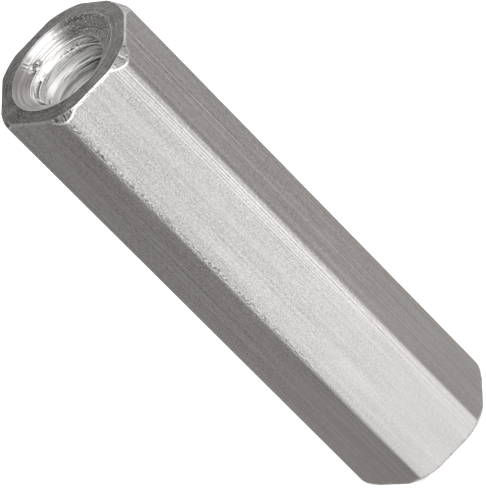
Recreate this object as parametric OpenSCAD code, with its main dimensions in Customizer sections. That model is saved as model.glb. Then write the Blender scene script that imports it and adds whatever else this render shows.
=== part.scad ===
// Female-female hex standoff: a spacer cut from hexagonal bar, chamfered at the ends of
// its long edges and drilled, countersunk and tapped from both ends. It stands on its
// lower end face, with +Z along the holes and one flat facing -Y.

/* [Bar] */
// Width of the hexagonal bar across its flats
across_flats = 6.35; // [5.8:0.05:9]
// Radius of the bar's rounded long edges
edge_r = 0.95; // [0.2:0.05:1.5]
// Length of the standoff from end face to end face
length = 25.4; // [24.8:0.1:60]

/* [End chamfers] */
// How far the upper chamfer reaches in from the long edges, measured on the end face
upper_chamfer_in = 0.23; // [0.05:0.01:0.5]
// Angle between the upper chamfer's cone and the bar's axis
upper_chamfer_angle = 32; // [20:1:60]
// How far the lower chamfer reaches in from the long edges, measured on the end face
lower_chamfer_in = 0.26; // [0.05:0.01:0.5]
// Angle between the lower chamfer's cone and the bar's axis, flatter than the upper one
lower_chamfer_angle = 50; // [20:1:75]
// How far the broken edge of an end face lies in from the flats
break_in = 0.03; // [0.01:0.01:0.1]
// How far the broken edge reaches along the flats
break_along = 0.1; // [0.02:0.02:0.2]

/* [Thread] */
// Nominal diameter of the thread in both ends
thread_d = 4.166; // [3:0.001:4.6]
// Pitch of the thread, from crest to crest
thread_pitch = 0.794; // [0.4:0.001:1]
// Share of a full thread's depth that the tap cuts
thread_share = 0.69; // [0.5:0.01:0.85]
// Length of full thread below each end face
thread_length = 9.5; // [4:0.1:20]
// Turns of plain hole left below the full thread for the tap's lead
lead_turns = 2; // [1:0.5:4]
// Included angle of the drill point at the bottom of each hole
point_angle = 118; // [90:1:150]

/* [Countersinks] */
// How much wider than the thread a countersink is at its mouth
sink_over = 0.93; // [0.2:0.01:1.2]
// Included angle of a countersink
sink_angle = 118; // [82:1:130]

/* [Hidden] */

SIDES = 6;          // flats of the bar
OVERCUT = 0.2;      // how far a cutter runs past the face it cuts
CLEAR_OF_BAR = 1;   // how far the chamfer's cone runs past the long edges
FULL_DEPTH = 3 / 8 * sqrt(3); // depth of a full 60 degree thread of pitch 1

apothem = across_flats / 2;
half_side = 180 / SIDES;
// Centre of a long edge's rounding, and the bar's reach over that edge
edge_centre_r = (apothem - edge_r) / cos(half_side);
corner_reach = edge_centre_r + edge_r;
// Width of a broken edge, which runs out on the roundings at both sides of its flat
flat_width = 2 * edge_centre_r * sin(half_side);
break_width = flat_width + 2 * sqrt(2 * edge_r * break_in) + OVERCUT;

// The chamfers' cones, from their circles on the end faces to outside the bar
cone_r = corner_reach + CLEAR_OF_BAR;
upper_drop = (CLEAR_OF_BAR + upper_chamfer_in) / tan(upper_chamfer_angle);
lower_drop = (CLEAR_OF_BAR + lower_chamfer_in) / tan(lower_chamfer_angle);

// The drilled hole has the diameter of the thread's crests
drill_r = thread_d / 2 - thread_share * FULL_DEPTH * thread_pitch;
drill_depth = thread_length + lead_turns * thread_pitch;
point_depth = drill_r / tan(point_angle / 2);

sink_r = (thread_d + sink_over) / 2;
sink_slope = tan(sink_angle / 2);
sink_depth = (sink_r - drill_r) / sink_slope;

$fn = 96;

// The point where a long edge's rounding meets the flat on one side of it
function tangent_point(corner, side) =
    let (
        edge_a = corner * 2 * half_side,
        flat_a = edge_a + side * half_side
    )
    edge_centre_r * [cos(edge_a), sin(edge_a)] + edge_r * [cos(flat_a), sin(flat_a)];

// Section of the bar: a hexagon whose corners are arcs, tangent to the flats
module bar_section() {
    polygon([
        for (corner = [0:SIDES - 1], side = [-1, 1]) tangent_point(corner, side)
    ]);
    for (corner = [0:SIDES - 1])
        rotate(corner * 2 * half_side)
            translate([edge_centre_r, 0])
                circle(r = edge_r);
}

// What the lathe leaves: flat end faces, and cones that take off the long edges' ends
module turned_envelope() {
    rotate_extrude()
        polygon([
            [0, 0],
            [corner_reach - lower_chamfer_in, 0],
            [cone_r, lower_drop],
            [cone_r, length - upper_drop],
            [corner_reach - upper_chamfer_in, length],
            [0, length]
        ]);
}

// One blind hole with its mouth at z = 0, running up: countersink, wall, drill point
module tapped_hole() {
    rotate_extrude()
        polygon([
            [0, -OVERCUT],
            [sink_r + OVERCUT * sink_slope, -OVERCUT],
            [drill_r, sink_depth],
            [drill_r, drill_depth],
            [0, drill_depth + point_depth]
        ]);
}

// Wedges that break the edges between the flats and the end face at z = 0
module edge_breaks() {
    for (flat = [0:SIDES - 1])
        rotate((2 * flat + 1) * half_side)
            rotate([90, 0, 0])
                linear_extrude(break_width, center = true)
                    polygon([
                        [apothem - 2 * break_in, -break_along],
                        [apothem + break_in, -break_along],
                        [apothem + break_in, 2 * break_along]
                    ]);
}

// All that is cut away at the end whose face is at z = 0
module end_cuts() {
    tapped_hole();
    edge_breaks();
}

module standoff() {
    color("silver")
        difference() {
            intersection() {
                linear_extrude(length) bar_section();
                turned_envelope();
            }
            end_cuts();
            translate([0, 0, length]) mirror([0, 0, 1]) end_cuts();
        }
}

standoff();
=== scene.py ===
"""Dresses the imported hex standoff: the drawn bar with its turned ends, both countersinks and
both helical threads as one closed mesh, procedural aluminium, a pale floor and soft light."""

import math

import bmesh
import bpy
import numpy as np
from mathutils import Matrix, Vector


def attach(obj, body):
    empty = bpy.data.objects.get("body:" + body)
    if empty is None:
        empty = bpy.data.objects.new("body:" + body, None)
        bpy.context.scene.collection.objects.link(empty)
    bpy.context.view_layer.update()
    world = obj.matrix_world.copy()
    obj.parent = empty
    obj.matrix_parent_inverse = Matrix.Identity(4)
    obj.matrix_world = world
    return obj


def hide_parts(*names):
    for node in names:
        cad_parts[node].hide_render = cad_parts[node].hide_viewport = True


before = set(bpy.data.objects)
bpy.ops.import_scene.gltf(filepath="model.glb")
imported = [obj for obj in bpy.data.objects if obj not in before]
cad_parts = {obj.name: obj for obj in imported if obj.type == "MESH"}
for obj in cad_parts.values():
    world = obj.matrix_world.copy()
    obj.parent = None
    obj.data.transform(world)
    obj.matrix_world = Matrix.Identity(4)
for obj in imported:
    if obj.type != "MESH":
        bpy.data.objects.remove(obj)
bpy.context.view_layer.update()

# ---------------------------------------------------------------- sizes, in millimetres
MM = 0.001
ACROSS_FLATS = 6.35
EDGE_R = 0.95           # rounding of the bar's long edges
LENGTH = 25.4
UPPER_CHAMFER = (0.23, 32.0, (-0.06, 0.0))  # reach on the end face, cone angle, run-out
LOWER_CHAMFER = (0.26, 50.0, (0.0, 0.0))
UPPER_HOLE = (0.0, 0.1)     # run-out of the holes' axes
LOWER_HOLE = (0.0, 0.0)
BREAK_IN = 0.03         # the broken edge between a flat and an end face
BREAK_ALONG = 0.1
THREAD_D = 4.166
PITCH = 0.794
THREAD_ANGLE = 60.0
THREAD_SHARE = 0.69     # of a full thread's depth, which the tap cuts
FULL_DEPTH = 3 / 8 * math.sqrt(3)   # depth of a full 60 degree thread of pitch 1
THREAD_LENGTH = 9.5     # below each end face
LEAD_TURNS = 2          # turns of the tap's lead below it, where the thread fades out
POINT_ANGLE = 118.0
SINK_OVER = 0.93        # how much wider than the thread a countersink's mouth is
SINK_ANGLE = 118.0

SIDES = 6
HALF_SIDE = math.pi / SIDES
APOTHEM = ACROSS_FLATS / 2
EDGE_CENTRE_R = (APOTHEM - EDGE_R) / math.cos(HALF_SIDE)
CORNER_REACH = EDGE_CENTRE_R + EDGE_R
TANGENT_ANGLE = math.atan2(     # from a long edge to where its rounding meets the flat
    EDGE_R * math.sin(HALF_SIDE), EDGE_CENTRE_R + EDGE_R * math.cos(HALF_SIDE)
)
THREAD_DEPTH = THREAD_SHARE * FULL_DEPTH * PITCH
DRILL_R = THREAD_D / 2 - THREAD_DEPTH
DRILL_DEPTH = THREAD_LENGTH + LEAD_TURNS * PITCH
POINT_DEPTH = DRILL_R / math.tan(math.radians(POINT_ANGLE / 2))
SINK_R = (THREAD_D + SINK_OVER) / 2
SINK_SLOPE = math.tan(math.radians(SINK_ANGLE / 2))

# ---------------------------------------------------------------- thread, on the axial plane
ROOT_WIDTH = PITCH / 8
FLANK_WIDTH = THREAD_DEPTH * math.tan(math.radians(THREAD_ANGLE / 2))
CREST_WIDTH = PITCH - ROOT_WIDTH - 2 * FLANK_WIDTH
CREST_PLACE = 1.08      # depth of a crest's middle on the +Y side
FIRST_TURN = -3         # starts above the mouth, so that the countersink cuts into the thread
THREAD_END = DRILL_DEPTH - 0.02     # no corner of the thread lies deeper than this

# ---------------------------------------------------------------- wear and tear
RIPPLES = [(17, 0.4), (31, 1.9), (53, 3.1), (89, 0.7)]  # waves per turn, and where each starts
BREAK_RAGGED = 0.3      # share by which a broken edge's reach along the flat wavers
MOUTH_RAGGED = 0.002    # share by which the radius of a countersink's mouth wavers
OUTER_LIP = 0.012       # height of the burr along the edge of a crest that faces the mouth
INNER_LIP = 0.036       # height of the burr along its other edge
OUTER_ROLL = 0.035      # how far those two burrs are rolled out past the edges
INNER_ROLL = 0.1
LIP_RAGGED = 0.4        # share by which their height wavers
DIP = 0.3               # where the hollow between them starts, as a share of the crest's width
TEAR = (120.0, 1.85, 0.55)      # angle, radius and depth at which the first crest runs out, torn
TEAR_REACH = 0.55       # how far around that place the metal is torn
TEAR_RISE = 0.09        # and how high, at most
TEAR_LUMPS = [(171, 0, 57), (67, 93, 31)]   # rates by angle, radius and depth
CALM_R = 2.15           # radius on a countersink outside which nothing is torn

# Places at the upper end, as x, y and z; the lower end has the same, turned over
BURR_AT = [(-0.86, 1.8, 25.0), (-0.84, 1.65, 24.8), (-0.86, 1.6, 24.4)]     # along that tear
SMEAR_AND_SHADE_AT = [(-1.45, 1.05, 24.55), (-1.75, 0.2, 24.7)]       # smeared metal beside it, darkened further by painted shade
CLEAN_AT = [(-0.9, 1.6, 23.8)]                              # and bright metal below it
CHIPS_AT = [(0.85, 1.62, 24.42), (0.5, 1.72, 24.44), (0.25, 1.74, 24.46)]   # on the first crest
TORN_AT = [(1.45, 1.95, 25.25), (2.0, 1.0, 25.1), (1.95, 0.0, 25.0)]        # on the countersink
SINK_BURR_REACH = 0.45  # how far around those places the marks reach, on the countersink
BURR_REACH = 0.55       # and in the thread
SMEAR_AND_SHADE_REACH = 0.9
CLEAN_REACH = 0.6
CHIPS_REACH = 0.32
TORN_REACH = 1.1
BURR_LUMPS = 4          # lumps per mm
CHIPS_LUMPS = 8

# ---------------------------------------------------------------- mesh
ROUND_STEPS = 12        # columns over one long edge's rounding
FLAT_STEPS = 28         # columns over one flat
EDGE_SOFT = 0.02        # radius of the rounding around the end faces
RIM_SOFT = 0.18         # on the chamfers' and broken edges' lower rims, which are rubbed
MOUTH_SOFT = 0.07       # on the countersinks' mouths
CREST_SOFT = 0.04       # on the thread's crests
ROOT_SOFT = 0.02        # in its roots and at the foot of the hole
ROUND_SHARE = 0.4       # share of a segment that a rounding may use
CHAMFER_FROM = 0.14     # where a wall ends deeper than this, a corner chamfer cuts it
WELD_GAP = 2e-8         # in metres: vertices closer than this are joined
NO_LENGTH = 1e-9        # in metres: edges shorter than this are dropped
TINY = 1e-12            # margin for round-off

BAR, TURNED, CHAMFER, SINK, CREST, THREAD, WORN, BURRED = range(8)  # material slots


def section_radius(angle):
    """Distance from the axis to the bar's outline, and whether that point is on a flat."""
    from_corner = abs((angle + HALF_SIDE) % (2 * HALF_SIDE) - HALF_SIDE)
    if from_corner < TANGENT_ANGLE + TINY:
        across = EDGE_CENTRE_R * math.sin(from_corner)
        return EDGE_CENTRE_R * math.cos(from_corner) + math.sqrt(EDGE_R ** 2 - across ** 2), False
    return APOTHEM / math.cos(HALF_SIDE - from_corner), True


def column_angles():
    """Angles of the mesh's columns: even steps on each rounding and on each flat."""
    angles = []
    for corner in range(SIDES):
        middle = 2 * HALF_SIDE * corner
        for i in range(ROUND_STEPS):
            angles.append(middle + TANGENT_ANGLE * (2 * i / ROUND_STEPS - 1))
        flat = 2 * (HALF_SIDE - TANGENT_ANGLE)
        for i in range(FLAT_STEPS):
            angles.append(middle + TANGENT_ANGLE + flat * i / FLAT_STEPS)
    return angles


def soften(points):
    """Rounds each corner of a profile of (key, r, depth, radius) to three points."""
    out = []
    for i, (key, r, depth, radius) in enumerate(points):
        here = np.array([r, depth])
        if radius == 0 or i in (0, len(points) - 1):
            out.append(((key, 1), here))
            continue
        back = np.array(points[i - 1][1:3]) - here
        ahead = np.array(points[i + 1][1:3]) - here
        back_len, ahead_len = np.linalg.norm(back), np.linalg.norm(ahead)
        back, ahead = back / back_len, ahead / ahead_len
        half_turn = (math.pi - math.acos(np.clip(back @ ahead, -1, 1))) / 2
        reach = min(radius * math.tan(half_turn), ROUND_SHARE * back_len, ROUND_SHARE * ahead_len)
        inward = back + ahead
        inward /= max(np.linalg.norm(inward), TINY)
        sag = reach / math.tan(max(half_turn, TINY)) * (1 / math.cos(half_turn) - 1)
        out.append(((key, 0), here + back * reach))
        out.append(((key, 1), here + inward * sag))
        out.append(((key, 2), here + ahead * reach))
    return out


def ripple(angle):
    """Smooth, uneven wave between about -1 and 1."""
    return sum(math.sin(rate * angle + start) for rate, start in RIPPLES) / 2


def outer_profile(angle, chamfer):
    """From the bar's middle over the chamfer or broken edge to the countersink's mouth."""
    reach, cone_angle, run_out = chamfer
    radius, on_flat = section_radius(angle)
    end_r = CORNER_REACH - reach + run_out[0] * math.cos(angle) + run_out[1] * math.sin(angle)
    wall_top = (radius - end_r) / math.tan(math.radians(cone_angle))
    along = BREAK_ALONG * (1 + BREAK_RAGGED * ripple(angle))
    if on_flat:
        wall_top = max(wall_top, along)
        end_r = min(end_r, radius * (1 - BREAK_IN / APOTHEM))
    return [
        (("middle",), radius, LENGTH / 2, 0),
        (("wall",), radius, wall_top, RIM_SOFT),
        (("face",), end_r, 0, EDGE_SOFT),
        (("mouth",), SINK_R * (1 + MOUTH_RAGGED * ripple(2 * angle)), 0, MOUTH_SOFT),
    ]


def thread_profile(angle):
    """Corners of the thread at one angle, from above the mouth to the end of the lead."""
    shape = [
        (-CREST_WIDTH / 2 - FLANK_WIDTH, THREAD_DEPTH, ROOT_SOFT),
        (-CREST_WIDTH / 2 - OUTER_ROLL, -OUTER_LIP, CREST_SOFT),
        (-CREST_WIDTH * DIP, 0, 0),
        (CREST_WIDTH * DIP, 0, 0),
        (CREST_WIDTH / 2 + INNER_ROLL, -INNER_LIP, CREST_SOFT),
        (CREST_WIDTH / 2 + FLANK_WIDTH, THREAD_DEPTH, ROOT_SOFT),
    ]
    start = CREST_PLACE + PITCH * (0.25 - angle / (2 * math.pi))
    corners = []
    for turn in range(FIRST_TURN, math.ceil(DRILL_DEPTH / PITCH) + 2):
        for j, (along, rise, radius) in enumerate(shape):
            if rise < 0:
                rise *= 1 + LIP_RAGGED * ripple(angle - 2 * math.pi * turn)
            depth = start + turn * PITCH + along
            if depth > THREAD_END:
                continue
            fade = np.clip((DRILL_DEPTH - depth) / (DRILL_DEPTH - THREAD_LENGTH), 0, 1)
            corners.append((("thread", turn, j), DRILL_R + rise * fade, depth, radius))
    return corners


def tear(angle, r, depth):
    """Rise of the torn metal where a first crest runs out."""
    tear_angle, tear_r, tear_depth = TEAR
    turn = (angle - math.radians(tear_angle) + math.pi) % (2 * math.pi) - math.pi
    gap = math.hypot(turn * tear_r, r - tear_r, depth - tear_depth)
    lumps = sum(math.sin(a * angle + b * r + c * depth) for a, b, c in TEAR_LUMPS)
    return TEAR_RISE * max(0, 1 - gap / TEAR_REACH) * (1 + lumps) / 2


def bore_profile(angle):
    """The countersink's cone where it lies outside the thread, then thread and drill point."""
    def over_cone(corner):
        return corner[1] - (SINK_R - corner[2] * SINK_SLOPE)

    corners = thread_profile(angle)
    out, crossings = [(("calm",), CALM_R, (SINK_R - CALM_R) / SINK_SLOPE, 0)], 0
    for before, corner in zip(corners, corners[1:]):
        gap_a, gap_b = over_cone(before), over_cone(corner)
        if (gap_a < 0) != (gap_b < 0):
            share = gap_a / (gap_a - gap_b)
            r = before[1] + share * (corner[1] - before[1])
            depth = before[2] + share * (corner[2] - before[2])
            if depth > 0:
                out.append((("cross", crossings), r, depth, CREST_SOFT))
                crossings += 1
        if gap_b >= 0 and corner[2] > 0:
            out.append(corner)
    out.append((("drill",), DRILL_R, DRILL_DEPTH, ROOT_SOFT))
    out.append((("point",), DRILL_R / 2, DRILL_DEPTH + POINT_DEPTH / 2, 0))
    out.append((("tip",), 0, DRILL_DEPTH + POINT_DEPTH, 0))
    return out


def band_slot(point_a, point_b):
    """Material of the band between two neighbouring points of the profile."""
    ((a, _), (_, depth)), ((b, _), _) = point_a, point_b
    if a[0] == "middle":
        return BAR
    if a[0] == "wall" and b[0] == "face" and depth > CHAMFER_FROM:
        return CHAMFER
    if a == b and (a[0] == "cross" or a[0] == "wall" and depth > CHAMFER_FROM):
        return BURRED
    if a == b and a[0] == "thread":
        return BURRED if a[2] in (1, 4) else THREAD
    if a[0] == "wall" or (a == b and a[0] != "drill"):
        return WORN
    if a[0] == "face":
        return TURNED
    if a[0] in ("mouth", "calm") or a[0] == b[0] == "cross":
        return SINK
    if a[0] == b[0] == "thread" and 0 < a[2] < b[2] < 5:
        return CREST
    return THREAD


def zip_bands(left, right, place, add):
    """Faces between two columns: quads where their keys agree, triangles where they don't."""
    right_rows = {key: row for row, (key, _) in enumerate(right)}
    pairs = [(row, right_rows[key]) for row, (key, _) in enumerate(left) if key in right_rows]
    for (l0, r0), (l1, r1) in zip(pairs, pairs[1:]):
        slot = band_slot(left[l0], left[l1])
        if l1 - l0 == 1 and r1 - r0 == 1:
            add((place(0, l0), place(1, r0), place(1, r1), place(0, l1)), slot)
            continue
        l, r = l0, r0
        while l < l1 or r < r1:
            done_l, done_r = (l + 1 - l0) / max(l1 - l0, 1), (r + 1 - r0) / max(r1 - r0, 1)
            if r == r1 or (l < l1 and done_l <= done_r):
                add((place(0, l), place(1, r), place(0, l + 1)), slot)
                l += 1
            else:
                add((place(0, l), place(1, r), place(1, r + 1)), slot)
                r += 1


def next_turn(column):
    """The same column with its thread's turns counted from one turn on, to close the ring."""
    return [
        (((("thread", key[0][1] + 1, key[0][2]) if key[0][0] == "thread" else key[0]), key[1]), at)
        for key, at in column
    ]


def half_mesh(chamfer, hole):
    """Vertices, faces and slots of an upper half, open at the bar's middle."""
    angles = column_angles()
    columns = [soften(outer_profile(a, chamfer) + bore_profile(a)) for a in angles]
    vertices, first = [], []
    for angle, column in zip(angles, columns):
        first.append(len(vertices))
        for (key, _), (r, depth) in column:
            x, y = (0, 0) if key[0] in ("middle", "wall", "face") else hole
            if key[0] in ("cross", "thread"):
                rise = tear(angle, r, depth)
                r, depth = r - rise, depth - rise / 2
            vertices.append((x + r * math.cos(angle), y + r * math.sin(angle), LENGTH - depth))
    faces, slots = [], []

    def add(corners, slot):
        faces.append(corners)
        slots.append(slot)

    for i, left in enumerate(columns):
        j = (i + 1) % len(columns)
        right = next_turn(columns[j]) if j == 0 else columns[j]
        zip_bands(left, right, lambda side, row: first[j if side else i] + row, add)
    return vertices, faces, slots


def weighted_normals(vertices, mesh):
    """Vertex normals in which a large face outweighs the small ones of a rounded edge."""
    normals = np.zeros((len(vertices), 3))
    for face in mesh.polygons:
        for corner in face.vertices:
            normals[corner] += np.array(face.normal) * face.area / MM ** 2
    lengths = np.linalg.norm(normals, axis=1, keepdims=True)
    return normals / np.maximum(lengths, TINY)


def build_standoff(materials):
    """Both halves, the lower one made as an upper one and turned over about the X axis."""
    upper, faces, slots = half_mesh(UPPER_CHAMFER, UPPER_HOLE)
    lower, lower_faces, lower_slots = half_mesh(LOWER_CHAMFER, LOWER_HOLE)
    turned_over = np.array(lower) * (1, -1, -1) + (0, 0, LENGTH)
    faces += [tuple(v + len(upper) for v in face) for face in lower_faces]
    mesh = bpy.data.meshes.new("hex_standoff")
    mesh.from_pydata((np.vstack([upper, turned_over]) * MM).tolist(), [], faces)
    mesh.polygons.foreach_set("material_index", slots + lower_slots)
    for material in materials:
        mesh.materials.append(material)
    weld(mesh)
    mesh.polygons.foreach_set("use_smooth", [True] * len(mesh.polygons))
    mesh.normals_split_custom_set_from_vertices(weighted_normals(mesh.vertices, mesh).tolist())
    piece = bpy.data.objects.new("hex_standoff", mesh)
    bpy.context.scene.collection.objects.link(piece)
    return piece


def weld(mesh):
    """Joins the halves, drops faces without area and turns every face outwards."""
    work = bmesh.new()
    work.from_mesh(mesh)
    bmesh.ops.remove_doubles(work, verts=work.verts, dist=WELD_GAP)
    bmesh.ops.dissolve_degenerate(work, edges=work.edges, dist=NO_LENGTH)
    bmesh.ops.recalc_face_normals(work, faces=work.faces)
    work.to_mesh(mesh)
    work.free()


# ---------------------------------------------------------------- node helper
class Graph:
    """One node tree, with a short call for each kind of node used here."""

    def __init__(self, tree):
        self.tree = tree
        tree.nodes.clear()

    def node(self, kind, inputs=(), **settings):
        """Adds a node with these settings; an input is a value or another node's socket."""
        made = self.tree.nodes.new(kind)
        for name, value in settings.items():
            setattr(made, name, value)
        for name, value in dict(inputs).items():
            self.put(made.inputs[name], value)
        return made

    def put(self, socket, value):
        """Links the socket to another one, or sets its value."""
        if isinstance(value, bpy.types.NodeSocket):
            self.tree.links.new(value, socket)
        else:
            socket.default_value = value

    def math(self, operation, a, b=0.0):
        """Result of one operation on one or two values."""
        return self.node("ShaderNodeMath", {0: a, 1: b}, operation=operation).outputs[0]

    def times(self, product, *factors):
        """Product of all the values."""
        for factor in factors:
            product = self.math("MULTIPLY", product, factor)
        return product

    def total(self, *terms):
        """Sum of (value, weight) terms."""
        (first, weight), *others = terms
        out = self.math("MULTIPLY", first, weight)
        for value, weight in others:
            inputs = {0: value, 1: weight, 2: out}
            out = self.node("ShaderNodeMath", inputs, operation="MULTIPLY_ADD").outputs[0]
        return out

    def around_zero(self, value):
        """A noise of 0 to 1, moved to lie around zero."""
        return self.math("SUBTRACT", value, 0.5)

    def vector(self, operation, a, b=(0, 0, 0)):
        """Result of one operation on one or two vectors, a value where it gives a value."""
        made = self.node("ShaderNodeVectorMath", {0: a, 1: b}, operation=operation)
        single = operation in ("LENGTH", "DISTANCE", "DOT_PRODUCT")
        return made.outputs["Value" if single else "Vector"]

    def ramp(self, value, low, high, to_low=0.0, to_high=1.0):
        """Smooth step from to_low where the value is low, to to_high where it is high."""
        inputs = {"Value": value, "From Min": low, "From Max": high,
                  "To Min": to_low, "To Max": to_high}
        return self.node("ShaderNodeMapRange", inputs, interpolation_type="SMOOTHSTEP").outputs[0]

    def noise(self, vector, scale=1.0, detail=2.0, rough=0.5):
        """Noise of 0 to 1 with its lumps 1 / scale apart."""
        inputs = {"Vector": vector, "Scale": scale, "Detail": detail, "Roughness": rough}
        return self.node("ShaderNodeTexNoise", inputs).outputs[0]

    def streaks(self, mm, across, along, detail=2.0, rough=0.5):
        """Noise with its own scale across the bar and along it."""
        stretched = self.vector("MULTIPLY", mm, (across, across, along))
        return self.noise(stretched, detail=detail, rough=rough)

    def even(self, value):
        """The same value in all three channels."""
        return self.node("ShaderNodeCombineXYZ", {0: value, 1: value, 2: value}).outputs[0]

    def parts(self, vector):
        """The vector's x, y and z."""
        return self.node("ShaderNodeSeparateXYZ", {0: vector}).outputs

    def radius(self, mm):
        """Distance from the bar's axis."""
        return self.vector("LENGTH", self.vector("MULTIPLY", mm, (1, 1, 0)))

    def corner_angle(self, mm):
        """Angle round the bar's axis to the nearest long edge."""
        x, y, _ = self.parts(mm)
        return self.math("PINGPONG", self.math("ARCTAN2", y, x), HALF_SIDE)

    def ring_place(self, mm, across, along):
        """Texture place whose noise runs in rings round the axis."""
        flat = self.vector("MULTIPLY", mm, (1, 1, 0))
        radius = self.math("MULTIPLY", self.vector("LENGTH", flat), across)
        way = self.vector("MULTIPLY", self.vector("NORMALIZE", flat), (along, along, 0))
        lift = self.node("ShaderNodeCombineXYZ", {2: radius}).outputs[0]
        return self.vector("ADD", way, lift)

    def near(self, mm, places, radius):
        """1 around any of the upper end's places, or the lower's like them, 0 past the radius."""
        x, y, z = self.parts(mm)
        from_middle = self.math("SUBTRACT", z, LENGTH / 2)
        y = self.math("MULTIPLY", y, self.math("SIGN", from_middle))
        z = self.math("ADD", self.math("ABSOLUTE", from_middle), LENGTH / 2)
        here = self.node("ShaderNodeCombineXYZ", {0: x, 1: y, 2: z}).outputs[0]
        gap = radius
        for place in places:
            gap = self.math("MINIMUM", gap, self.vector("DISTANCE", here, place))
        return self.ramp(gap, radius, radius * 0.5)

    def close_to(self, value, place, reach):
        """1 where the value is at the place, fading to 0 within the reach."""
        gap = self.math("ABSOLUTE", self.math("SUBTRACT", value, place))
        return self.ramp(gap, reach, reach * 0.3)

    def chips(self, mm, mask, scale):
        """Torn lumps around zero, kept to the mask."""
        lumps = self.ramp(self.noise(mm, scale=scale, detail=2, rough=0.6), 0.44, 0.56, -0.5, 0.5)
        return self.times(lumps, mask)

    def pits(self, mm, per_mm, radius):
        """1 inside a few small pits, scattered over the surface."""
        cells = self.node("ShaderNodeTexVoronoi", {"Vector": mm, "Scale": per_mm})
        chosen = self.ramp(self.parts(cells.outputs["Color"])[0], 0.5, 0.55)
        size = radius * per_mm
        return self.times(self.ramp(cells.outputs["Distance"], size, size * 0.6), chosen)


# ---------------------------------------------------------------- aluminium
TINT = (0.699, 0.69, 0.685)     # bare aluminium, a little warm

# Lines along the long edges of front and back, by their x
SHINE_AT = [(1.13, 0.3), (1.235, 0.7), (1.36, 0.8), (1.475, 1.3)]   # rubbed lines, strength
SHINE_REACH = 0.032
TEETH_AT = 1.62         # fine burr outside them
TEETH_REACH = 0.1
HAIRS_AT = (2.5, 2.745)     # two bright hairlines on the flats to the right
HAIRS_REACH = 0.03
FRINGE_AT = -1.68       # torn fringe along the -X edges
FRINGE_REACH = 0.15


def edge_marks(g, mm, plain, crisp):
    """Marks along the long edges; plain and crisp say how clear they are at each height."""
    x, _, _ = g.parts(mm)
    rounded = g.ramp(g.corner_angle(mm), TANGENT_ANGLE + 0.12, TANGENT_ANGLE - 0.02)
    edge = g.times(rounded, g.ramp(x, 0, 0.6), plain)
    drawn = g.times(g.around_zero(g.streaks(mm, 16, 0.02)), edge)
    broken = g.streaks(mm, 4, 0.8)
    shine = g.total(*[(g.close_to(x, place, SHINE_REACH), weight) for place, weight in SHINE_AT])
    shine = g.times(shine, crisp, g.ramp(broken, 0.2, 0.5))
    hairs = g.total(*[(g.close_to(x, place, HAIRS_REACH), 1.0) for place in HAIRS_AT])
    hairs = g.times(hairs, crisp, g.ramp(broken, 0.3, 0.55))
    chewed = g.streaks(mm, 9, 6, detail=3, rough=0.65)
    teeth = g.times(g.close_to(x, TEETH_AT, TEETH_REACH), g.ramp(chewed, 0.5, 0.6), crisp)
    fringe = g.times(g.close_to(x, FRINGE_AT, FRINGE_REACH), crisp, g.around_zero(chewed))
    return rounded, edge, drawn, shine, hairs, teeth, fringe


def drawn_bar(g, mm):
    """Lengthwise die lines in a fine pitted grain, with rubbed and torn long edges."""
    _, y, z = g.parts(mm)
    plain, crisp = g.ramp(z, 0, 14, 0.4, 1.2), g.ramp(z, 3, 13)
    rounded, edge, drawn, shine, hairs, teeth, fringe = edge_marks(g, mm, plain, crisp)
    side = g.ramp(g.math("ABSOLUTE", y), APOTHEM - 0.05, APOTHEM - 0.4)
    hair, wisp = g.streaks(mm, 18, 0.1, detail=1), g.streaks(mm, 7, 0.06)
    scratch = g.ramp(g.streaks(mm, 13, 0.05, detail=1), 0.64, 0.7)
    band = g.around_zero(g.streaks(mm, 1.6, 0.2, detail=1))
    grain = g.around_zero(g.noise(mm, scale=16, detail=4, rough=0.85))
    flecks = g.ramp(g.noise(mm, scale=9, detail=2, rough=0.6), 0.6, 0.68)
    pits = g.pits(mm, 0.75, 0.04)

    lines = g.total((g.around_zero(hair), 0.5), (g.around_zero(wisp), 0.15))
    lines = g.times(lines, plain, g.total((side, 0.9), (0.75, 1.0)))
    scratch = g.times(scratch, g.total((side, 0.16), (0.06, 1.0)))
    coarse = g.times(grain, plain, g.total((side, 0.7), (1.0, 1.0)))
    tone = g.total((0.98, 1.0), (lines, 0.8), (drawn, 0.9), (band, 0.2), (scratch, 1.0),
                   (coarse, 1.8), (flecks, 0.08), (fringe, 3.0), (shine, 0.34), (teeth, 0.14),
                   (hairs, 0.6), (pits, -0.5), (edge, 0.06), (g.ramp(z, 4, 25, 0.02, -0.1), 1.0))
    rough = g.total((0.27, 1.0), (band, 0.2), (lines, 0.2), (rounded, -0.07), (shine, -0.05),
                    (pits, 0.3))
    height = g.total((lines, 0.006), (drawn, 0.006), (coarse, 0.005), (fringe, 0.06),
                     (teeth, 0.01), (pits, -0.012))
    return tone, rough, height


def turned_face(g, mm):
    """Rings left by the lathe's tool, with torn specks that catch the light."""
    rings = g.noise(g.ring_place(mm, 13, 0.5), detail=3, rough=0.6)
    torn = g.noise(mm, scale=18, detail=3, rough=0.8)
    specks = g.ramp(torn, 0.6, 0.66)
    cloud = g.noise(mm, scale=1.6, detail=2)
    # the end face's tone, darker towards -X and lighter towards +X
    x_gradient = g.ramp(g.parts(mm)[0], -3, 3, -0.15, 0.08)
    tone = g.total((0.6, 1.0), (g.around_zero(rings), 0.5), (g.around_zero(cloud), 0.6),
                   (g.around_zero(torn), 1.6), (specks, 1.5), (x_gradient, 1.4))
    rough = g.total((0.3, 1.0), (g.around_zero(rings), 0.3), (specks, 0.1))
    height = g.total((rings, 0.006), (specks, 0.04))
    return tone, rough, height


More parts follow.
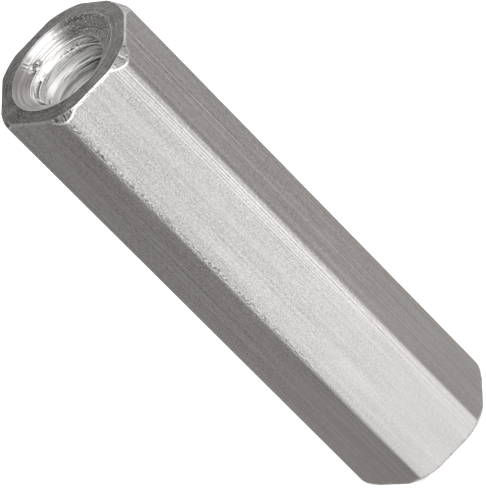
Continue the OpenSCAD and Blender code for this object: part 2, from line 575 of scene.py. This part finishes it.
def chamfered(g, mm):
    """Chatter marks down a corner's chamfer, with torn glints and painted shade towards -X."""
    marks = g.noise(g.ring_place(mm, 2, 22), detail=3, rough=0.75)
    specks = g.ramp(g.noise(mm, scale=8, detail=3, rough=0.7), 0.55, 0.6)
    # painted shade on the chamfers, towards -X
    left = g.ramp(g.parts(mm)[0], -0.5, -1.5)
    tone = g.total((0.58, 1.0), (g.around_zero(marks), 1.6), (specks, 0.5), (left, -0.2))
    rough = g.total((0.24, 1.0), (g.around_zero(marks), 0.3), (specks, 0.05))
    height = g.total((marks, 0.06), (specks, 0.04))
    return tone, rough, height


def countersunk(g, mm):
    """Rings that the countersink's cutting edges leave, a few cut deep, and torn patches."""
    fine, deep = g.noise(g.ring_place(mm, 18, 0.3)), g.noise(g.ring_place(mm, 6, 0.4), detail=1)
    torn = g.noise(mm, scale=13, detail=3, rough=0.75)
    patch = g.near(mm, TORN_AT, TORN_REACH)
    cuts = g.ramp(g.noise(g.ring_place(mm, 16, 0.35), detail=1), 0.56, 0.62)
    cuts = g.times(cuts, g.total((1.0, 1.0), (patch, -0.8)))
    specks = g.times(g.ramp(torn, 0.56, 0.61), patch)
    near_burr = g.near(mm, BURR_AT, SINK_BURR_REACH)
    burr = g.chips(mm, near_burr, BURR_LUMPS)
    rings = g.total((g.around_zero(fine), 1.2), (g.around_zero(deep), 0.4), (cuts, -0.28))
    rings = g.times(rings, g.ramp(g.parts(mm)[0], -2, -0.5, 0.5, 1.0))
    tone = g.total((0.85, 1.0), (rings, 1.0), (specks, 0.8), (patch, -0.2),
                   (g.times(g.around_zero(torn), patch), 1.2), (burr, 1.3), (near_burr, 0.25))
    rough = g.total((0.24, 1.0), (g.around_zero(deep), 0.2), (cuts, 0.2), (near_burr, 0.2))
    height = g.total((fine, 0.007), (deep, 0.009), (cuts, -0.01), (specks, 0.05), (burr, 0.08))
    return tone, rough, height


def painted_hole_shade(g, mm, deep):
    """Painted shade in a hole: more towards +X, and by deep from 2 mm down."""
    x, _, z = g.parts(mm)
    from_middle = g.math("ABSOLUTE", g.math("SUBTRACT", z, LENGTH / 2))
    depth = g.math("SUBTRACT", LENGTH / 2, from_middle)
    return g.total((g.ramp(x, 0.0, 1.8), 0.9), (g.ramp(depth, 1.8, 2.4), deep))


def thread_marks(g, mm):
    """Where the thread is smeared and darkened by painted shade, where clean, and the chips on its
    first crest.
    """
    smear_and_shade, clean = g.near(mm, SMEAR_AND_SHADE_AT, SMEAR_AND_SHADE_REACH), g.near(mm, CLEAN_AT, CLEAN_REACH)
    return smear_and_shade, clean, g.chips(mm, g.near(mm, CHIPS_AT, CHIPS_REACH), CHIPS_LUMPS)


def tapped(g, mm):
    """Flanks and roots of the thread: torn and matt, with streaks round the hole, painted light in
    the roots and painted shade on the smear, towards +X and deep in the hole.
    """
    streaks = g.streaks(mm, 1.2, 12, detail=3, rough=0.7)
    cuts = g.ramp(g.streaks(mm, 0.7, 14, detail=1), 0.6, 0.66)
    bright = g.ramp(g.streaks(mm, 0.8, 16, detail=1), 0.6, 0.66)
    torn = g.noise(mm, scale=9, detail=4, rough=0.75)
    specks = g.ramp(torn, 0.56, 0.62)
    # painted light: 1 in the thread's roots, lightened against the shade that lies there
    root = g.ramp(g.radius(mm), 1.8, 2.02)
    near_burr = g.near(mm, BURR_AT, BURR_REACH)
    burr = g.chips(mm, near_burr, BURR_LUMPS)
    smear_and_shade, clean, chips = thread_marks(g, mm)
    # painted light in the roots; painted shade on the smear, towards +X and deep in the hole
    tone = g.total((1.0, 1.0), (root, 1.1), (smear_and_shade, -0.85), (clean, 0.4), (cuts, -0.6),
                   (bright, 0.6), (g.around_zero(streaks), 1.2), (g.around_zero(torn), 0.9),
                   (burr, 1.6), (near_burr, 0.6), (chips, 1.2), (painted_hole_shade(g, mm, 0.55), -1.0))
    rough = g.total((0.55, 1.0), (specks, -0.25), (g.around_zero(streaks), 0.4), (near_burr, -0.2))
    height = g.total((streaks, 0.014), (torn, 0.02), (burr, 0.08), (chips, 0.02))
    return tone, rough, height


def crested(g, mm):
    """Crests of the thread, where the drill's rings stay between the burrs, with painted shade on
    the smear, towards +X and deep in the hole.
    """
    smear_and_shade, clean, chips = thread_marks(g, mm)
    unsmeared = g.total((1.0, 1.0), (smear_and_shade, -0.8))
    rings = g.times(g.around_zero(g.streaks(mm, 0.8, 18, detail=1)), unsmeared)
    cuts = g.times(g.ramp(g.streaks(mm, 0.5, 11, detail=1), 0.54, 0.6), unsmeared)
    torn = g.noise(mm, scale=9, detail=3, rough=0.7)
    # painted shade on the smear, towards +X and deep in the hole
    tone = g.total((1.45, 1.0), (rings, 2.0), (cuts, -0.6), (g.around_zero(torn), 0.9),
                   (smear_and_shade, -0.35), (clean, 0.4), (chips, 1.0), (painted_hole_shade(g, mm, 1.5), -1.0))
    rough = g.total((0.4, 1.0), (cuts, 0.2), (g.around_zero(torn), 0.3))
    height = g.total((rings, 0.015), (cuts, -0.02), (torn, 0.015), (chips, 0.02))
    return tone, rough, height


def worn_edge(g, mm):
    """Rubbed and burnished rims, nicked here and there."""
    nicks = g.ramp(g.noise(mm, scale=9, detail=3, rough=0.7), 0.54, 0.62)
    grain = g.noise(mm, scale=14, detail=2)
    lower = g.ramp(g.parts(mm)[2], 12, 1)
    tone = g.total((1.1, 1.0), (g.around_zero(grain), 0.5), (nicks, -0.2), (lower, -0.12))
    rough = g.total((0.22, 1.0), (nicks, 0.2), (lower, 0.35))
    height = g.total((grain, 0.006), (nicks, -0.01))
    return tone, rough, height


def burred_edge(g, mm):
    """Ragged burrs, with a painted highlight on the chamfers of front and back and on the thread's
    crests, and painted shade towards +X in the hole.
    """
    x, y, z = g.parts(mm)
    ragged = g.noise(mm, scale=12, detail=3, rough=0.7)
    in_hole = g.ramp(g.radius(mm), 2.9, 2.7)
    # painted highlight on the burrs of the front and back chamfers, weaker towards the lower end,
    # and on all burrs in the hole
    front = g.times(g.ramp(g.math("ABSOLUTE", y), 2.95, 3.1), g.ramp(z, 1, 12, 0.35, 1.0))
    bright = g.math("MAXIMUM", front, in_hole)
    # painted shade on the burrs in the hole, towards +X
    hole_shade = g.times(in_hole, g.ramp(x, 0.5, 1.8))
    tone = g.total((0.6, 1.0), (bright, 0.8), (g.around_zero(ragged), 1.2), (hole_shade, -0.5))
    rough = g.total((0.3, 1.0), (g.around_zero(ragged), 0.4))
    return tone, rough, g.times(ragged, 0.03)


def aluminium(name, pattern, metallic):
    """One finish of the aluminium; its pattern gives tone, roughness and height in mm."""
    material = bpy.data.materials.new(name)
    material.use_nodes = True
    g = Graph(material.node_tree)
    mm = g.vector("MULTIPLY", g.node("ShaderNodeTexCoord").outputs["Object"], (1 / MM,) * 3)
    tone, rough, height = pattern(g, mm)
    colour = g.vector("MULTIPLY", g.even(tone), TINT)
    bump = g.node("ShaderNodeBump", {"Distance": MM, "Height": height})
    shader = g.node("ShaderNodeBsdfPrincipled", {
        "Base Color": colour, "Metallic": metallic, "Roughness": rough, "Normal": bump.outputs[0]})
    g.node("ShaderNodeOutputMaterial", {"Surface": shader.outputs[0]})
    return material


# ---------------------------------------------------------------- stage
SOFT_LIGHTS = [  # azimuth from the front towards +X, elevation, half width, softness, level
    (0, 88, 18, 6, 0.95),
    (-6, -36, 44, 3, 0.6),
    (0, -82, 14, 8, 0.15),
    (0, 6, 20, 8, 1.06),
    (-34, 8, 16, 8, 0.4),
    (34, 8, 16, 8, 0.82),
    (8, 56, 34, 16, 1.9),
    (60, 12, 20, 14, 0.18),
    (151, 14, 24, 14, 0.26),
    (150, -14, 10, 8, 0.6),
    (112, -8, 14, 8, 0.45),
    (-140, 26, 20, 12, 0.14),
    (180, 32, 30, 14, -0.14),
    (180, 0, 14, 8, 0.94),
]
TENT_LEFT, TENT_RIGHT = 0.276, 0.394    # levels of the tent's unlit sides, -X and +X
WARM = (1.05, 1.0, 0.98)    # their colour, beside the lights' white
DIFFUSE_LEVEL = 0.8         # what all but camera and glossy rays see
FLOOR_HALF = 3.0            # in metres, as are the lamp's size, place and aim
FLOOR_COLOUR = (0.92, 0.92, 0.92, 1)
FLOOR_GLOW = 0.45           # for the camera alone, so that the floor comes out white
KEY_SIZE = (0.2, 0.25)
KEY_POWER = 0.5             # in watts
KEY_PLACE = Vector((0.07, -0.15, 0.28))
KEY_AIM = Vector((0, 0, 0.01))


def direction(azimuth, elevation):
    """Unit vector; the azimuth runs from the front towards +X."""
    a, e = math.radians(azimuth), math.radians(elevation)
    return Vector((math.sin(a) * math.cos(e), -math.cos(a) * math.cos(e), math.sin(e)))


def light_tent():
    """White to the camera, plain to matt surfaces, and soft lights by direction to metal."""
    world = bpy.data.worlds.new("tent")
    bpy.context.scene.world = world
    world.use_nodes = True
    g = Graph(world.node_tree)
    ray = g.vector("NORMALIZE", g.node("ShaderNodeTexCoord").outputs["Generated"])
    level = g.ramp(g.parts(ray)[0], -0.8, 0.8, TENT_LEFT, TENT_RIGHT)
    seen = g.vector("MULTIPLY", g.even(level), WARM)
    for azimuth, elevation, width, soft, strength in SOFT_LIGHTS:
        facing = g.vector("DOT_PRODUCT", ray, direction(azimuth, elevation))
        outer = math.cos(math.radians(width + soft))
        inner = math.cos(math.radians(width - soft))
        seen = g.vector("ADD", seen, g.even(g.ramp(facing, outer, inner, 0.0, strength)))
    path = g.node("ShaderNodeLightPath")
    plain = g.even(g.ramp(path.outputs["Is Camera Ray"], 0, 1, DIFFUSE_LEVEL, 1.0))
    glossy = g.even(path.outputs["Is Glossy Ray"])
    colour = g.vector("ADD", plain, g.vector("MULTIPLY", glossy, g.vector("SUBTRACT", seen, plain)))
    background = g.node("ShaderNodeBackground", {"Color": colour})
    g.node("ShaderNodeOutputWorld", {"Surface": background.outputs[0]})


def floor():
    """Pale ground that keeps the shadow and glows for the camera alone."""
    mesh = bpy.data.meshes.new("floor")
    corners = [(x * FLOOR_HALF, y * FLOOR_HALF, 0) for x, y in ((-1, -1), (1, -1), (1, 1), (-1, 1))]
    mesh.from_pydata(corners, [], [(0, 1, 2, 3)])
    piece = bpy.data.objects.new("floor", mesh)
    bpy.context.scene.collection.objects.link(piece)
    material = bpy.data.materials.new("floor")
    material.use_nodes = True
    g = Graph(material.node_tree)
    matt = g.node("ShaderNodeBsdfDiffuse", {"Color": FLOOR_COLOUR})
    seen = g.node("ShaderNodeLightPath").outputs["Is Camera Ray"]
    glow = g.node("ShaderNodeEmission", {"Strength": g.times(seen, FLOOR_GLOW)})
    both = g.node("ShaderNodeAddShader", {0: matt.outputs[0], 1: glow.outputs[0]})
    g.node("ShaderNodeOutputMaterial", {"Surface": both.outputs[0]})
    mesh.materials.append(material)
    piece.visible_glossy = False


def key_lamp():
    """Soft lamp above and in front, which metal doesn't mirror."""
    lamp = bpy.data.lights.new("key", "AREA")
    lamp.shape = "RECTANGLE"
    lamp.size, lamp.size_y = KEY_SIZE
    lamp.energy = KEY_POWER
    piece = bpy.data.objects.new("key", lamp)
    piece.location = KEY_PLACE
    piece.rotation_euler = (KEY_AIM - KEY_PLACE).to_track_quat("-Z", "Y").to_euler()
    piece.visible_glossy = False
    bpy.context.scene.collection.objects.link(piece)


# ---------------------------------------------------------------- camera, fitted to the outline
VIEW_TILT = 57.4        # angle between the bar's axis and the line of sight
VIEW_ROLL = 45.205      # turn of the picture about the line of sight
VIEW_TURN = -2.2        # turn of the bar's front away from the camera
END_AT = (62.5, 61.97)  # the upper end's centre in the picture
PX_PER_MM = 24.465      # scale of the picture there
FOCAL_PX = 6900.0       # focal length in pixels
PICTURE = (486, 488)    # in pixels
SENSOR = 36             # in mm, as wide as the picture's longer side
CLIP_START = 0.01       # in metres


def camera():
    """Looks down on the upper end, rolled so that the bar lies across the picture."""
    tilt, roll, turn = (math.radians(v) for v in (VIEW_TILT, VIEW_ROLL, VIEW_TURN))
    down = Vector((0, 0, -1))
    front = Vector((math.sin(turn), -math.cos(turn), 0))
    side = down.cross(front)
    ahead = down * math.cos(tilt) - front * math.sin(tilt)
    across = down * math.sin(tilt) + front * math.cos(tilt)
    right = across * math.cos(roll) - side * math.sin(roll)
    below = across * math.sin(roll) + side * math.cos(roll)
    off_x, off_y = END_AT[0] - PICTURE[0] / 2, END_AT[1] - PICTURE[1] / 2
    shift = (off_x * right + off_y * below) / PX_PER_MM
    place = Vector((0, 0, LENGTH)) - shift - ahead * FOCAL_PX / PX_PER_MM
    data = bpy.data.cameras.new("camera")
    data.sensor_width = SENSOR
    data.lens = FOCAL_PX * SENSOR / max(PICTURE)
    data.clip_start = CLIP_START
    piece = bpy.data.objects.new("camera", data)
    axes = Matrix((right, -below, -ahead)).transposed()
    piece.matrix_world = Matrix.Translation(place * MM) @ axes.to_4x4()
    bpy.context.scene.collection.objects.link(piece)
    bpy.context.scene.camera = piece


# ---------------------------------------------------------------- scene
FINISHES = [  # in the order of the slots: name, pattern, metallic
    ("drawn", drawn_bar, 1.0),
    ("turned", turned_face, 1.0),
    ("chamfered", chamfered, 1.0),
    ("countersunk", countersunk, 1.0),
    ("crested", crested, 0.2),
    ("tapped", tapped, 0.3),
    ("worn", worn_edge, 1.0),
    ("burred", burred_edge, 0.3),
]

bpy.context.scene.view_settings.view_transform = "Standard"
camera()
light_tent()
key_lamp()
floor()
standoff = build_standoff([aluminium(*finish) for finish in FINISHES])
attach(standoff, "root")
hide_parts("standoff")
